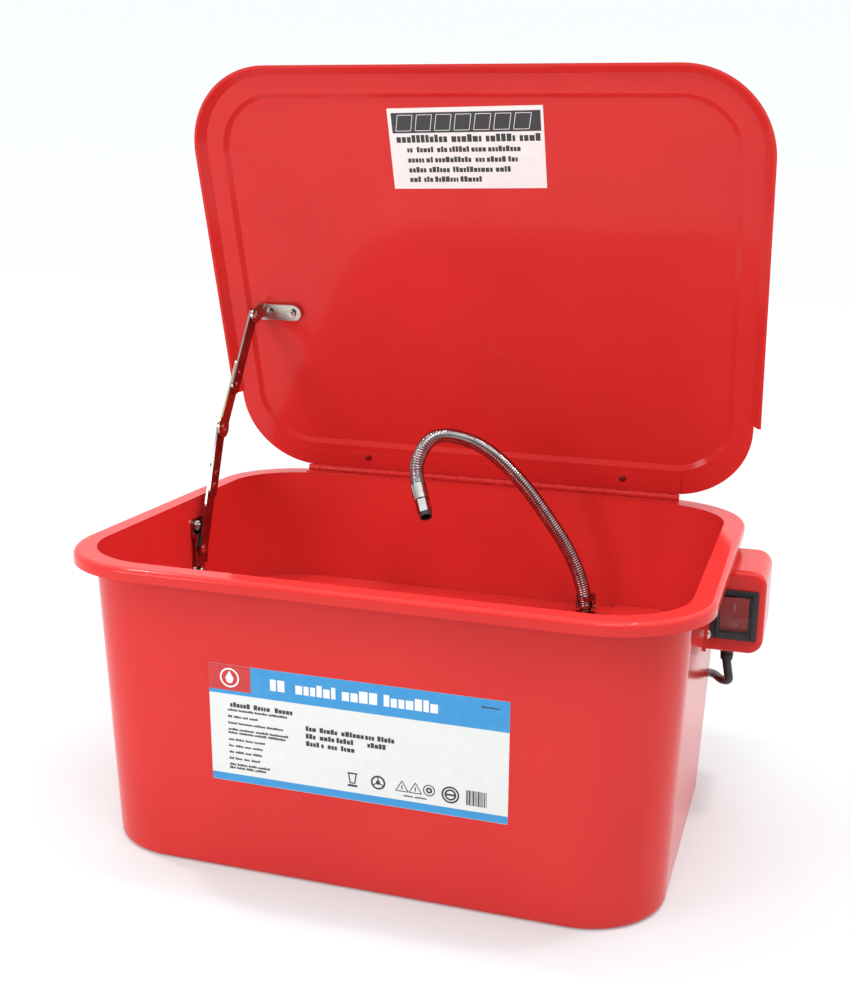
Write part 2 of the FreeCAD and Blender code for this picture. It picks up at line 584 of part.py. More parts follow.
def make_spout():
    """Spiral metal hose, crimped collar and nozzle tip."""
    route = [spout_point(*place) for place in SPOUT_ROUTE]
    outer = tube(route, SPOUT_R, "spout")
    inner = tube(route, SPOUT_BORE_R)
    ball_gap = Part.makeSphere(6.2, V(*route[0]))
    hose = outer.cut(inner).cut(ball_gap)
    pin_slot = block(SPOUT_X - 12, SPOUT_X + 12, SPOUT_Y - 1.9, SPOUT_Y + 1.9,
                     SPOUT_PIVOT_Z - 1, SPOUT_PIVOT_Z + 2)
    hose = hose.cut(pin_slot)
    end = V(*route[-1])
    along = end - V(*route[-2])
    along.normalize()
    collar_start = end - along * COLLAR_LAP
    tip_start = collar_start + along * COLLAR_LENGTH
    collar = Part.makeCone(COLLAR_TOP_R, COLLAR_LOW_R, COLLAR_LENGTH, collar_start, along).cut(outer)
    collar = collar.cut(Part.makeCylinder(SPOUT_BORE_R, COLLAR_LENGTH - 2.0, collar_start, along))
    collar = collar.cut(Part.makeCylinder(NOZZLE_BORE_R, COLLAR_LENGTH + 2.0, collar_start, along))
    for index in range(6):
        flat = block(COLLAR_HEX_FLAT, 20, -10, 10, COLLAR_HEX_START, COLLAR_LENGTH + 1)
        flat.rotate(V(0, 0, 0), V(0, 0, 1), index * 60 + 30)
        turn = FreeCAD.Rotation(V(0, 0, 1), along)
        flat.Placement = FreeCAD.Placement(collar_start, turn).multiply(flat.Placement)
        collar = collar.cut(flat)
    nozzle = Part.makeCylinder(NOZZLE_R, NOZZLE_LENGTH, tip_start, along)
    nozzle = nozzle.cut(Part.makeCylinder(NOZZLE_BORE_R, 2 * NOZZLE_LENGTH, tip_start - along, along))
    return hose, collar, nozzle


def make_box():
    """Switch box: a folded cover on the right wall, with a front tab and its screws."""
    outer = block(190, BOX_OUT, BOX_FRONT, BOX_BACK, BOX_LOW, BOX_HIGH)
    outer = smooth(outer, BOX_SIDE_R, lambda e: e.BoundBox.XMin > BOX_OUT - 0.01 and e.BoundBox.YLength > 20)
    outer = smooth(outer, BOX_FRONT_R, lambda e: e.BoundBox.YMax < BOX_FRONT + 0.01 and e.BoundBox.XMax > 230)
    inner = block(190, BOX_OUT - BOX_WALL, BOX_FRONT + BOX_WALL, BOX_BACK - BOX_WALL,
                  BOX_LOW + BOX_WALL, BOX_HIGH - BOX_WALL)
    inner = smooth(inner, BOX_SIDE_R - BOX_WALL,
                   lambda e: e.BoundBox.XMin > BOX_OUT - BOX_WALL - 0.01 and e.BoundBox.YLength > 20)
    cover = outer.cut(inner)
    window = block(SWITCH_X - 13, SWITCH_X + 13, BOX_FRONT - 5, BOX_FRONT + 5, SWITCH_Z - 16, SWITCH_Z + 16)
    cover = cover.cut(window)
    x, y = CORD_EXIT
    cover = cover.cut(rod(6.0, (x, y, BOX_LOW - 2), (x, y, BOX_LOW + 4)))
    tabs = []
    for y0, y1 in ((BOX_FRONT - 22, BOX_FRONT + 1), (BOX_BACK - 1, BOX_BACK + 11)):
        tabs.append(block(200, 217, y0, y1, TAB_Z - 12, TAB_Z + 10))
    leaf = wall_outside(1.6)
    tabs = [tab.common(leaf) for tab in tabs]
    cover = merge([cover] + tabs).cut(wall_outside(0.05))
    screws = []
    for y in (BOX_FRONT - 15.0, BOX_BACK + 5.0):
        x = wall_x(TAB_Z) + 1.6
        screws.append(merge([rod(2.0, (x - 1.5, y, TAB_Z), (x + 0.5, y, TAB_Z)),
                             dome(4.0, 2.6, (x, y, TAB_Z), (1, 0, 0))]).cut(wall_outside(0.05)))
    cover = cover.cut(Part.makeCompound(screws))
    return cover, Part.makeCompound(screws)


def make_switch():
    """Rocker switch: housing behind the panel, bezel, rocker and clear dust cover."""
    x, z = SWITCH_X, SWITCH_Z
    half_w, half_h = ROCKER_W / 2 + 0.6, ROCKER_H / 2 + 0.9
    face = BOX_FRONT
    bezel = block(x - BEZEL_W / 2, x + BEZEL_W / 2, face - BEZEL_T, face, z - BEZEL_H / 2, z + BEZEL_H / 2)
    bezel = smooth(bezel, 2.0, lambda e: e.BoundBox.YLength > 2)
    body = block(x - 12.9, x + 12.9, face, face + 22, z - 15.9, z + 15.9)
    housing = bezel.fuse(body)
    housing = housing.cut(block(x - half_w, x + half_w, face - 5, face + 12, z - half_h, z + half_h))
    housing = housing.cut(rod(TRUNNION_BORE_R, (x - 12.7, ROCKER_PIVOT_Y, z), (x + 12.7, ROCKER_PIVOT_Y, z)))
    spades = []
    for dz in (-8, 0, 8):
        spades.append(block(x - 3, x + 3, face + 22, face + 30, z + dz - 0.4, z + dz + 0.4))
    housing = housing.removeSplitter()
    low, high = z - ROCKER_H / 2, z + ROCKER_H / 2
    corners = ((face - 2.6, high), (face - 4.6, z - 1.0), (face + 1.0, low), (face + 6.0, low + 2),
               (face + 6.0, high - 3))
    profile = [V(x - ROCKER_W / 2, corner_y, corner_z) for corner_y, corner_z in corners]
    rocker = Part.Face(Part.makePolygon(profile + [profile[0]])).extrude(V(ROCKER_W, 0, 0))
    rocker = merge([rocker, rod(TRUNNION_R, (x - 12.4, ROCKER_PIVOT_Y, z), (x + 12.4, ROCKER_PIVOT_Y, z))])
    dome_outer = block(x - half_w - 2.2, x + half_w + 2.2, face - BEZEL_T - 6.5, face - BEZEL_T,
                       z - half_h - 2.2, z + half_h + 2.2)
    dome_outer = smooth(dome_outer, 2.0, lambda e: e.BoundBox.YMin < face - BEZEL_T - 1)
    dome_inner = block(x - half_w - 1.2, x + half_w + 1.2, face - BEZEL_T - 5.7, face - BEZEL_T + 1,
                       z - half_h - 1.2, z + half_h + 1.2)
    shield = dome_outer.cut(dome_inner)
    return housing, Part.makeCompound(spades), rocker, shield


def make_gland(cable):
    """Rubber grommet in the right wall for the pump's cable."""
    x, y, z = GLAND_X, GLAND_Y, GLAND_Z
    barrel = rod(GLAND_NECK_R, (x - 4, y, z), (x + 3, y, z))
    outside = rod(GLAND_FLANGE_R, (x + 0.2, y, z), (x + 2.6, y, z)).cut(wall_outside(0.02))
    inside = rod(GLAND_FLANGE_R, (x - 3.6, y, z), (x - SHEET - 0.2, y, z))
    inside = inside.common(wall_outside(-SHEET - 0.02))
    return merge([barrel, outside, inside]).cut(cable)


def make_pump_cable():
    """Pump lead: up from the pump, along under the shelf, up through it and out into the box."""
    y, z = GLAND_Y, GLAND_Z
    route = ((SPOUT_X + 24, 100.0, 74.0), (SPOUT_X + 24, 100.0, 92.0), (SPOUT_X + 40, 92.0, 106.0),
             (SPOUT_X + 72, y + 12, 107.0), (CABLE_RISE_X, y, 120.0), (CABLE_RISE_X, y, z),
             (CABLE_END_X, y, z))
    return tube(route, CABLE_R, "pump cable")


def make_cord():
    """Tapered strain relief, cord run, coil, tail and plug."""
    x, y = CORD_EXIT
    end_z = CORD_ROUTE[0][2]
    relief = Part.makeCone(4.6, 6.6, BOX_LOW - end_z - 0.1, V(x, y, end_z))
    for index in range(3):
        ring_z = end_z + 4.5 + index * 5
        groove = Part.makeCylinder(10, 1.6, V(x, y, ring_z)).cut(Part.makeCylinder(4.3, 1.6, V(x, y, ring_z)))
        relief = relief.cut(groove)
    plug_in = rod(5.9, (x, y, BOX_LOW - 0.2), (x, y, BOX_LOW + 4))
    relief = relief.fuse(plug_in).removeSplitter()
    run = tube(CORD_ROUTE, CORD_R, "cord run")
    tail = tube(TAIL_ROUTE, CORD_R, "cord tail")
    coil = Part.makeTorus(COIL_MID_R, COIL_HALF, V(COIL_X, COIL_Y, COIL_HALF)).cut(run).cut(tail)
    relief = relief.cut(run)
    y = TAIL_ROUTE[-1][1]
    half = PLUG_WIDE / 2
    shell = plate(PLUG_X - PLUG_LONG, PLUG_X, y - half, y + half, 10.0, 0.0, PLUG_THICK)
    shell = smooth(shell, 3.0, lambda e: e.BoundBox.ZMin > PLUG_THICK - 0.01)
    shell = shell.cut(tail)
    pins = []
    for side in (-1, 1):
        pin_y = y + side * PIN_APART / 2
        pins.append(block(PLUG_X - 16, PLUG_X - 12, pin_y - 3.2, pin_y + 3.2,
                          PLUG_THICK, PLUG_THICK + PIN_LONG))
    earth_x = PLUG_X - 14 - PIN_APART
    pins.append(block(earth_x - 4, earth_x + 4, y - 2, y + 2, PLUG_THICK, PLUG_THICK + EARTH_PIN_LONG))
    return relief, run, coil, tail, shell, Part.makeCompound(pins)


def make_front_label():
    """Thin printed plate on the front wall."""
    slope = (BASE_FRONT - OPEN_FRONT) / RIM_TOP
    z0, z1 = 71.0, 159.0
    x0, x1 = -106.0, 108.0
    corners = []
    for x, z in ((x0, z0), (x1, z0), (x1, z1), (x0, z1)):
        corners.append(V(x, BASE_FRONT - slope * z, z))
    face = Part.Face(Part.makePolygon(corners + [corners[0]]))
    normal = V(0, -1, -slope)
    normal.normalize()
    sheet = face.extrude(normal * 0.3)
    return sheet


def make_lid_label():
    """Thin caution plate on the lid's inner face, near its front edge."""
    z = LID_INNER_Z + PANEL_RISE
    sheet = block(-66.0, 60.0, HINGE_Y - 330.5, HINGE_Y - 266.0, z - 0.3, z)
    sheet.rotate(V(-3, HINGE_Y - 298, z), V(0, 0, 1), -1.4)
    return with_lid(sheet)


def build():
    save("tank_shell", make_tank())
    save("front_label", make_front_label())
    save("shelf", make_shelf())
    save("shelf_brackets", make_shelf_brackets())
    save("pump_cover", make_pump_cover())
    strainer, housing, impeller, riser = make_pump()
    save("pump_strainer", strainer)
    save("pump_housing", housing)
    save("pump_impeller", impeller)
    save("riser_pipe", riser)
    cable = make_pump_cable()
    save("pump_cable", cable)
    save("cable_gland", make_gland(cable))
    save("spout_swivel", make_swivel())
    hose, collar, nozzle = make_spout()
    save("spout_hose", hose)
    save("spout_yoke", make_yoke(hose))
    save("nozzle_collar", collar)
    save("nozzle_tip", nozzle)

    save("lid_panel", make_lid_panel())
    save("lid_label", make_lid_label())
    rim_leaf = make_leaf(0, RIM_LEAF_W, HINGE_Z - BARREL_R, PIN_R, (), 0)
    save("hinge_rim_leaf", rim_leaf)
    lid_leaf = make_leaf(1, LID_LEAF_W, LID_INNER_Z - LEAF_T, PIN_BORE_R, LID_SCREW_XS, LID_SCREW_OUT)
    save("hinge_lid_leaf", with_lid(lid_leaf))
    save("hinge_pin", rod(PIN_R, (-HINGE_HALF, HINGE_Y, HINGE_Z), (HINGE_HALF, HINGE_Y, HINGE_Z)))
    save("hinge_screws", make_lid_screws())

    bracket, screws = make_lid_bracket()
    save("lid_bracket", bracket)
    save("lid_bracket_screws", screws)
    top, elbow, foot = STAY_TOP, STAY_ELBOW, STAY_FOOT
    laps = lap_holes(top, elbow, UPPER_LAPS)
    save("stay_upper_strip", strip((top, between(top, elbow, 0.64)), UPPER_TOP_X, ((top, RIVET_R),) + laps))
    eye = Part.makeCylinder(ELBOW_EYE_R, STRIP_T, V(UPPER_LOW_X, elbow[0], elbow[1]), V(1, 0, 0))
    save("stay_fusible_strip", merge([strip((between(top, elbow, 0.47), elbow), UPPER_LOW_X, laps), eye]))
    rivets = small_rivets(top, elbow, UPPER_LAPS, UPPER_LOW_X, UPPER_TOP_X + STRIP_T)
    elbow_cap = dome(RIVET_HEAD_R, RIVET_HEAD_T, (UPPER_LOW_X + STRIP_T,) + elbow, (1, 0, 0))
    pivot = pivot_rivet(top, UPPER_TOP_X, EAR_X + STRIP_T + 0.1)
    save("stay_upper_rivets", Part.makeCompound(rivets + [elbow_cap, pivot]))
    laps = lap_holes(foot, elbow, LOWER_LAPS)
    save("stay_lower_strip", strip((elbow, between(foot, elbow, 0.48)), LOWER_TOP_X, laps))
    holes = ((foot, RIVET_R),) + laps
    save("stay_foot_strip", strip((between(foot, elbow, 0.66), foot), FOOT_STRIP_X, holes))
    rivets = small_rivets(foot, elbow, LOWER_LAPS, FOOT_STRIP_X, LOWER_TOP_X + STRIP_T)
    bridge_x = FOOT_STRIP_X - LAYER_GAP - STRIP_T
    pivot = pivot_rivet(foot, bridge_x - 0.1, FOOT_STRIP_X + STRIP_T)
    save("stay_lower_rivets", Part.makeCompound(rivets + [pivot]))
    bracket, bolts = make_wall_bracket()
    save("wall_bracket", bracket)
    save("wall_bracket_bolts", bolts)

    cover, screws = make_box()
    save("switch_box", cover)
    save("box_screws", screws)
    housing, spades, rocker, shield = make_switch()
    save("switch_housing", housing)
    save("switch_terminals", spades)
    save("switch_rocker", rocker)
    save("switch_shield", shield)
    relief, run, coil, tail, shell, pins = make_cord()
    save("strain_relief", relief)
    save("mains_cord", run)
    save("cord_coil", coil)
    save("cord_tail", tail)
    save("plug_body", shell)
    save("plug_pins", pins)


build()
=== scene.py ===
# Parts washer tank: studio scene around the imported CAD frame.
# Metres. +Z is up, -Y is the front. Lengths written in millimetres go through mm().
import bpy
import math
import random
from mathutils import Matrix, Vector


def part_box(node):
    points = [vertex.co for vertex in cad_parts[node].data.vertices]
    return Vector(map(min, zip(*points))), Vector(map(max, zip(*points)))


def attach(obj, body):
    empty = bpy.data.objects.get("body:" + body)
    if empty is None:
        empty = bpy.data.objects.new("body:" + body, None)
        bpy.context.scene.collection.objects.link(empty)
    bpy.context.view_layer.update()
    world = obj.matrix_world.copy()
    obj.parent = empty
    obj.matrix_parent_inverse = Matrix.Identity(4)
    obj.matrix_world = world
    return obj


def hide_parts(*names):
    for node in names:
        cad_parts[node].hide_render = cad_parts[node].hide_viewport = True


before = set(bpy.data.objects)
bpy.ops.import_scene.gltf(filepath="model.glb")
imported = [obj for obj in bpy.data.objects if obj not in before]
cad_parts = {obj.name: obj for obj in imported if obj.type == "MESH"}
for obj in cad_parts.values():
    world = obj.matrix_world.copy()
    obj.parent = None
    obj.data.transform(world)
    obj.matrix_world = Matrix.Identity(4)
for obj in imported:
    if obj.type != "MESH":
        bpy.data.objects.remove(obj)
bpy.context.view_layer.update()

MM = 0.001

# Camera, on a line through the target: millimetres, degrees, and the lens in millimetres
CAMERA_TARGET = (-4.2, 0.0, 247.2)
CAMERA_TURN, CAMERA_TILT, CAMERA_ROLL = 17.05, 12.69, 1.31
CAMERA_DISTANCE = 1029.6
CAMERA_LENS = 48.15
NEAREST_SEEN, FURTHEST_SEEN = 0.05, 50.0

# The open lid: hinge axis, how far the lid has turned from shut, and how deep its underside is hollow
HINGE_Y, HINGE_Z = 174.5, 228.0
LID_OPEN = 71.6
LID_POCKET = 6.0

# Labels. The lid's middle is given across the lid and out from the hinge, its turn in degrees.
LID_LABEL_MIDDLE, LID_LABEL_SIZE, LID_LABEL_TURN = (-3.0, 298.25), (126.0, 64.5), -1.4
LABEL_THICK = 0.3
FIRST_INK, SECOND_INK, LAST_INK = 0.06, 0.10, 0.14
TEXT_INK = 0.12

# Front wall: how far it leans out for each unit of height
FRONT_FOOT, FRONT_LEAN = -158.3, 14.2 / 225.0

# Curves: points between two control points, on a cord and on a guide line, and steps in a cord's quarter turn
CURVE_STEPS, GUIDE_STEPS, SECTION_STEPS = 8, 24, 5

# Mains lead: round flex, 1.8 m long, wound up on the floor behind the tank
CORD_D = 7.0
CORD_ROUTE = ((226.0, 72.0, 124.0), (228.0, 73.5, 112.0), (229.0, 80.0, 103.0), (221.5, 93.0, 98.5),
              (215.5, 112.0, 96.0), (207.0, 138.0, 88.0), (189.0, 163.0, 74.0), (165.0, 183.0, 56.0),
              (139.0, 194.0, 36.0), (114.0, 201.0, 17.0), (90.0, 204.0, 6.0))
COIL_CENTRE = (66.0, 250.0)
COIL_TURNS = ((45.5, 3.6), (38.5, 3.7), (31.5, 3.6), (34.8, 9.9), (41.8, 9.8), (38.4, 16.0))
POINTS_PER_TURN = 16
COIL_WOBBLE, WOBBLES_PER_TURN, WOBBLE_SHIFT = 0.5, 2.0, 5.1
COIL_CLIMB_START = 0.7
COIL_WAY_OUT = (66.0, 211.5, 16.0)
TAIL_ROUTE = ((44.0, 209.5, 14.6), (22.0, 209.5, 7.0), (0.0, 212.5, 3.8),
              (-22.0, 218.0, 4.4), (-46.0, 223.5, 8.0), (-72.0, 225.0, 9.5))

# Pump lead: from the pump, along under the shelf, up through it and out into the switch box
PUMP_LEAD_D = 6.0
PUMP_LEAD_ROUTE = ((126.0, 100.0, 74.0), (126.0, 100.0, 92.0), (142.0, 92.0, 106.0), (174.0, 72.0, 107.0),
                   (196.0, 60.0, 120.0), (196.0, 60.0, 160.0), (224.0, 60.0, 160.0))

# Spout hose: (distance out from the base in its upright plane, distance to the front of that plane, height)
SPOUT_BASE = (102.0, 129.0)
SPOUT_HEADING = 205.0
SPOUT_D = 12.0
SPOUT_ROUTE = ((0.0, 0.0, 137.5), (2.2, 0.0, 152.0), (15.5, 0.0, 184.8), (40.3, 0.0, 220.5),
               (59.2, 0.0, 245.7), (91.7, 0.0, 276.6), (124.3, 0.0, 286.6), (140.2, 0.0, 281.2),
               (148.3, 0.0, 262.5), (148.7, 1.4, 251.5), (147.0, 11.5, 242.0))
HOSE_PITCH, HOSE_GROOVE = 2.1, 0.8
HOSE_LAP_SHARPNESS = 0.45
RINGS_PER_TURN, HOSE_SIDES = 6, 28

# Rocker: how far its ridge is below the top, and how far back the top and the foot lean from the ridge
RIDGE_DROP, ROCKER_TOP_LEAN, ROCKER_FOOT_LEAN = 14.5, 2.0, 5.6

# Rocker marks: the bar's left, top, right and foot, and the ring's middle and two radii
ROCKER_BAR, ROCKER_RING = (-0.7, 4.2, 0.7, 10.2), (0, 20.4, 3.1, 2.1)

# Print without letters: block widths, a low block's drop, the gap after a block and the shortest last block,
# all in heights of the line, and then the share of tall blocks
BLOCK_NARROW, BLOCK_WIDE, LOW_BLOCK_DROP, BLOCK_GAP, LAST_BLOCK = 0.42, 0.72, 0.24, 0.13, 0.3
TALL_BLOCKS = 0.35
RING_SIDES = 28
FRONT_SEED, SIGNS_SEED, BARS_SEED, LID_SEED = 7, 3, 11, 19

# Front plate, in mm from its top left corner. Print is (left, top, height, word lengths, gap in heights).
PLATE_WIDE, PLATE_TALL = 214.0, 88.0
HEAD_BAND_END, FOOT_BAND_START = 21.8, 82.4
BADGE_WIDE, BADGE_TALL = 31.5, 19.0
DROP_MIDDLE = (15.8, 9.5)
DROP_RING = (7.2, 6.0)
DROP_OUTLINE = ((0.0, -5.2), (3.1, 0.2), (2.1, 3.2), (0.0, 4.2), (-2.1, 3.2), (-3.1, 0.2))
PLATE_TITLE = (46.0, 6.6, 8.4, (14, 29, 25, 38), 0.55)
PLATE_HEADING = (15.5, 27.6, 3.6, (15, 13, 13), 0.75)
SMALL_LEFT, SMALL_HEIGHT, SMALL_GAP = 13.5, 1.7, 0.6
SMALL_WORDS = (0.16, 0.24, 0.2, 0.3)
SMALL_ROWS = ((32.6, 46), (37.6, 22), (42.4, 43), (47.2, 47), (49.8, 45), (55.0, 27), (59.8, 25),
              (64.6, 25), (69.4, 23), (74.0, 31), (76.6, 27))
TABLE_LEFT, TABLE_HEIGHT, TABLE_GAP = 71.5, 3.7, 0.45
TABLE_ROWS = ((37.6, (8.5, 14, 17), 114.5, (7, 12)), (43.2, (8.5, 10.5, 13.5), 116.0, (13,)),
              (48.8, (9.5, 3, 8, 10), 116.0, ()))
PLATE_CORNER_PRINT = (195.0, 5.2, 1.3, (12.5,), 0.75)

# Pictograms of the front plate, all on one line. Rings are (outer, inner) radii. The bar across the large
# rings is given by half its width and half its height, and the uneven bars rise and drop from the line.
SIGNS_LEVEL = 72.0
BOTTLE_AT, WHEEL_AT, TRIANGLES_AT = 105.0, 123.5, (140.5, 150.0)
SMALL_RINGS_AT, LARGE_RINGS_AT = 159.6, 174.5
SMALL_RINGS, LARGE_RINGS = ((4.2, 3.5), (2.2, 0.9)), ((6.2, 5.0), (4.1, 2.9))
LARGE_RINGS_DROP, LARGE_RINGS_BAR = 0.8, (3.1, 0.7)
BARS_START, BARS_END, BARS_RISE, BARS_DROP = 185.5, 199.5, 4.6, 6.4
BAR_WIDTHS, BAR_GAPS = (0.35, 0.35, 0.7, 1.0), (0.35, 0.6)
WHEEL_SPOKES, WHEEL_TURN = 3, 0.08
WHEEL_RIM, WHEEL_HUB, WHEEL_SPOKE = (5.2, 3.9), (1.6, 0.0), (1.5, 4.2)
BOTTLE_STROKE, SPOKE_STROKE, TRIANGLE_STROKE = 0.9, 0.8, 0.6
SIGNS_PRINT = (141.5, 78.0, 1.2, (7, 9), 0.75)

# Lid plate, in mm from its top left corner
LID_BAND_LEFT, LID_BAND_RIGHT, LID_BAND_TOP, LID_BAND_FOOT = 3.0, 2.2, 3.6, 19.6
LID_BLOCKS, LID_BLOCK_LEAN, LID_BLOCK_GAP = 7, 2.4, 3.6
LID_BLOCK_LEFT, LID_BLOCK_TOP, LID_BLOCK_FOOT = 6.0, 5.4, 17.8
LID_BLOCKS_MARGIN, LID_BLOCK_STROKE = 14.0, 0.45
LID_BOLD_LINE = (5.7, 21.2, 6.0, (42, 24.4, 23.5, 16.5), 0.6)
LID_LINE_LEFT, LID_LINE_HEIGHT, LID_LINE_GAP = 13.8, 4.4, 0.42
LID_LINES = ((30.6, (6.2, 15, 8.3, 16.2, 11.8, 26)), (38.8, (13.3, 5.5, 31.5, 7.4, 15.5, 7.6)),
             (46.8, (15, 18, 33.3, 12.7)), (54.6, (10, 7.4, 19.3, 17.5)))

# Studio, in metres. The floor's own light grows between two distances from the object.
FLOOR_HALF = 6.0
FLOOR_LIGHT_NEAR, FLOOR_LIGHT_FAR = 0.21, 0.35
FLOOR_NEAR, FLOOR_FAR = 0.7, 2.2
FRONT_LEVEL, BACK_LEVEL, OVERHEAD_LEVEL, SEEN_LEVEL = 0.06, 1.0, 1.75, 1.0
HORIZON_WHITE, UPPER_WHITE = (0.985, 1.0, 1.0), (0.955, 0.985, 1.0)

# World directions, as parts of a unit vector, between which one level or colour passes into the next
HORIZON_BLEND = (0.0, 0.13)
FRONT_TO_BACK = (-0.6, 0.25)
SIDE_TO_OVERHEAD = (0.25, 0.95)

# Lamps: place, the point they face, side of the square in metres, power in watts
LAMPS = {
    "key": ((-0.85, -1.15, 0.55), (0.0, 0.0, 0.25), 0.50, 6.0),
    "basin": ((0.35, -0.75, 1.35), (0.0, 0.15, 0.20), 0.50, 4.5),
    "top_right": ((0.56, -0.10, 1.50), (0.0, 0.0, 0.15), 0.11, 5.0),
    "top_left": ((-0.80, -0.05, 1.40), (0.0, 0.0, 0.15), 0.11, 5.0),
}


def mm(*values):
    """A point, or one length, from millimetres to metres."""
    if len(values) == 1:
        return values[0] * MM
    return Vector([value * MM for value in values])


# ---------------------------------------------------------------- materials

def new_material(name):
    """A node material, its node tree, and its main shader."""
    material = bpy.data.materials.new(name)
    material.use_nodes = True
    return material, material.node_tree, material.node_tree.nodes["Principled BSDF"]


def node(tree, kind, **settings):
    """A new node, with sockets and settings given by name."""
    made = tree.nodes.new(kind)
    for key, value in settings.items():
        if key in made.inputs:
            made.inputs[key].default_value = value
        else:
            setattr(made, key, value)
    return made


def noise(tree, scale, detail=3.0, stretch=(1.0, 1.0, 1.0)):
    """Noise in the object's own metres; scale is in cells per metre."""
    place = node(tree, "ShaderNodeTexCoord")
    mapping = node(tree, "ShaderNodeMapping")
    mapping.inputs["Scale"].default_value = stretch
    tree.links.new(place.outputs["Object"], mapping.inputs["Vector"])
    made = node(tree, "ShaderNodeTexNoise", Scale=scale, Detail=detail, Roughness=0.55)
    tree.links.new(mapping.outputs["Vector"], made.inputs["Vector"])
    return made.outputs["Fac"]


def remap(tree, value, low, high, from_low=0.3, from_high=0.7):
    """A value from one range stretched over another, and held at its ends."""
    made = node(tree, "ShaderNodeMapRange")
    made.inputs["From Min"].default_value = from_low
    made.inputs["From Max"].default_value = from_high
    made.inputs["To Min"].default_value = low
    made.inputs["To Max"].default_value = high
    tree.links.new(value, made.inputs["Value"])
    return made.outputs["Result"]


def mix_colour(tree, factor, first, second):
    """The first colour at factor 0, the second at 1."""
    made = node(tree, "ShaderNodeMix", data_type="RGBA")
    tree.links.new(factor, made.inputs["Factor"])
    made.inputs["A"].default_value = (*first, 1.0)
    made.inputs["B"].default_value = (*second, 1.0)
    return made.outputs["Result"]


def mix_value(tree, factor, first, second):
    """The first value, linked in, at factor 0, and the second, a number, at 1."""
    made = node(tree, "ShaderNodeMix", data_type="FLOAT")
    made.inputs["B"].default_value = second
    tree.links.new(factor, made.inputs["Factor"])
    tree.links.new(first, made.inputs["A"])
    return made.outputs["Result"]


def bump(tree, shader, height, distance, strength):
    """Fine relief on the shader's surface, distance in metres."""
    made = node(tree, "ShaderNodeBump", Strength=strength, Distance=distance)
    tree.links.new(height, made.inputs["Height"])
    tree.links.new(made.outputs["Normal"], shader.inputs["Normal"])


def varied(name, dark, light, rough, colour_scale, rough_scale, stretch=(1, 1, 1)):
    """Colour drifting between two close tones and roughness between two values."""
    material, tree, shader = new_material(name)
    drift = remap(tree, noise(tree, colour_scale), 0.0, 1.0)
    tree.links.new(mix_colour(tree, drift, dark, light), shader.inputs["Base Color"])
    wear = noise(tree, rough_scale, 5.0, stretch)
    tree.links.new(remap(tree, wear, *rough), shader.inputs["Roughness"])
    return material, tree, shader


def metal(name, **tones):
    """A bare or plated metal."""
    material, tree, shader = varied(name, **tones)
    shader.inputs["Metallic"].default_value = 1.0
    return material, tree, shader


def red_enamel():
    """Glossy stoved enamel: a clear wet surface with faint orange peel."""
    material, tree, shader = varied("red_enamel", dark=(0.65, 0.032, 0.029), light=(0.70, 0.037, 0.033),
                                    rough=(0.36, 0.48), colour_scale=9, rough_scale=160)
    shader.inputs["Coat Weight"].default_value = 0.8
    shader.inputs["Coat Roughness"].default_value = 0.12
    shader.inputs["Coat IOR"].default_value = 1.3
    shader.inputs["Specular IOR Level"].default_value = 0.0
    bump(tree, shader, noise(tree, scale=420, detail=2.0), distance=mm(0.05), strength=0.3)
    return material


def zinc():
    """Bright zinc plate with fine drawn lines and slightly yellow passivation."""
    material, tree, shader = metal("zinc", dark=(0.44, 0.41, 0.37), light=(0.60, 0.56, 0.51),
                                   rough=(0.14, 0.26), colour_scale=60, rough_scale=900, stretch=(1, 1, 6))
    bump(tree, shader, noise(tree, scale=1600, stretch=(1, 1, 5)), distance=mm(0.02), strength=0.5)
    return material


def shade_painted_zinc():
    """Zinc plate on the thin straps with painted shade: its tones are far darker than bright zinc, to stand
    for the dim red it reflects, and drift at random.
    """
    # painted shade: both tones are set darker than the zinc plate really is
    material, tree, shader = metal("shade_painted_zinc", dark=(0.20, 0.17, 0.165), light=(0.34, 0.31, 0.29),
                                   rough=(0.08, 0.20), colour_scale=60, rough_scale=900, stretch=(1, 1, 6))
    bump(tree, shader, noise(tree, scale=1600, stretch=(1, 1, 5)), distance=mm(0.02), strength=0.5)
    return material


def painted_shade_screw_red():
    """Red of the hinge screws, painted dark to stand for the shade that falls in their countersinks."""
    # painted shade: a dark copy of the red enamel
    material, _, shader = varied("painted_shade_screw_red", dark=(0.16, 0.010, 0.010), light=(0.26, 0.016, 0.015),
                                 rough=(0.30, 0.45), colour_scale=200, rough_scale=1500)
    shader.inputs["Metallic"].default_value = 0.4
    return material


def fusible_metal():
    """The fusible strip's warmer, duller plate."""
    material, tree, shader = metal("fusible_metal", dark=(0.37, 0.31, 0.19), light=(0.50, 0.44, 0.29),
                                   rough=(0.14, 0.28), colour_scale=70, rough_scale=800)
    bump(tree, shader, noise(tree, scale=1400), distance=mm(0.02), strength=0.5)
    return material


def chrome():
    """Polished plate with faint hazing."""
    return metal("chrome", dark=(0.40, 0.40, 0.40), light=(0.52, 0.52, 0.52),
                 rough=(0.06, 0.14), colour_scale=90, rough_scale=1300)[0]


def wound_steel():
    """Bright strip of the wound hose, with darker patches."""
    return metal("wound_steel", dark=(0.20, 0.18, 0.18), light=(0.36, 0.34, 0.335),
                 rough=(0.07, 0.14), colour_scale=110, rough_scale=1500)[0]


def brass():
    """Turned brass, a little dull."""
    return metal("brass", dark=(0.50, 0.36, 0.14), light=(0.66, 0.50, 0.22),
                 rough=(0.22, 0.40), colour_scale=120, rough_scale=1100)[0]


def black_rubber():
    """Matt moulded rubber."""
    material, tree, shader = varied("black_rubber", dark=(0.012, 0.012, 0.013), light=(0.022, 0.022, 0.023),
                                    rough=(0.48, 0.66), colour_scale=90, rough_scale=700)
    bump(tree, shader, noise(tree, scale=2200, detail=4.0), distance=mm(0.05), strength=0.4)
    return material


